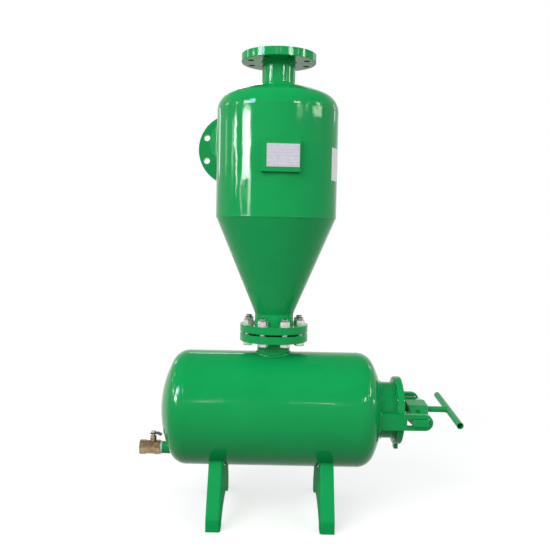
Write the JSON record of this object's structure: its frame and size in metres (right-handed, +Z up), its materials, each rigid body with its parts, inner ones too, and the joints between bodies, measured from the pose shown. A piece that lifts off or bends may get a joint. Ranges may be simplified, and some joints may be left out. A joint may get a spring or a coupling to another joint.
{
  "type": "hydrocyclone sand separator",
  "caption": "Welded hydrocyclone that spins sand out of water, with flanged inlet and outlet, on a horizontal sand tank with a drain valve and a clamped hand hole",
  "frame": {"origin": "on the floor, under the middle of the whole object's plan", "axes": "+Z up, +X along the sand tank towards the hand hole, +Y back, the way the inlet flange faces"},
  "size_m": [0.8564, 0.3836, 1.2415],
  "materials": {
    "green_enamel": "gloss green enamel",
    "black_rubber": "matt sheet rubber",
    "plate_aluminium": "satin sheet",
    "valve_brass": "dull forged brass",
    "ball_chrome": "polished",
    "stem_steel": "turned",
    "lever_paint": "satin black"
  },
  "bodies": {
    "separator": {"outlet_flange": "green_enamel", "outlet_pipe": "green_enamel", "top_head": "green_enamel", "cyclone_shell": "green_enamel", "inlet_entry": "green_enamel", "inlet_pipe": "green_enamel", "inlet_flange": "green_enamel", "cyclone_cone": "green_enamel", "apex_spigot": "green_enamel", "upper_joint_flange": "green_enamel", "lower_joint_flange": "green_enamel", "tank_neck": "green_enamel", "tank_shell": "green_enamel", "tank_head_left": "green_enamel", "tank_head_right": "green_enamel", "left_saddle": "green_enamel", "right_saddle": "green_enamel", "hand_hole_neck": "green_enamel", "hand_hole_ring": "green_enamel", "hand_hole_cover": "green_enamel", "front_clamp_arm": "green_enamel", "back_clamp_arm": "green_enamel", "clamp_yoke": "green_enamel", "nameplate_bracket": "green_enamel", "drain_nipple": "green_enamel", "joint_gasket": "black_rubber", "hand_hole_gasket": "black_rubber", "nameplate": "plate_aluminium", "valve_body": "valve_brass", "valve_insert": "valve_brass", "valve_gland": "valve_brass"},
    "valve_handle": {"valve_ball": "ball_chrome", "valve_stem": "stem_steel", "valve_lever": "lever_paint"},
    "clamp_pad": {"pressure_pad": "green_enamel"},
    "clamp_handle": {"clamp_screw": "green_enamel", "t_handle_bar": "green_enamel"}
  },
  "joints": [
    {"name": "valve_turn", "type": "hinge", "parent": "separator", "child": "valve_handle", "pos_m": [-0.39222, -0.0185, 0.167], "axis": [0, 0, -1], "range_deg": [0, 90]},
    {"name": "pad_slide", "type": "slide", "parent": "separator", "child": "clamp_pad", "axis": [1, 0, 0], "range_m": [0, 0.005]},
    {"name": "screw_turn", "type": "hinge", "parent": "clamp_pad", "child": "clamp_handle", "pos_m": [0.2868, -0.0185, 0.288], "axis": [1, 0, 0], "range_deg": [0, 450]}
  ],
  "couplings": [
    {"joint": "pad_slide", "follows": "screw_turn", "m_per_rad": 0.00063662}
  ]
}
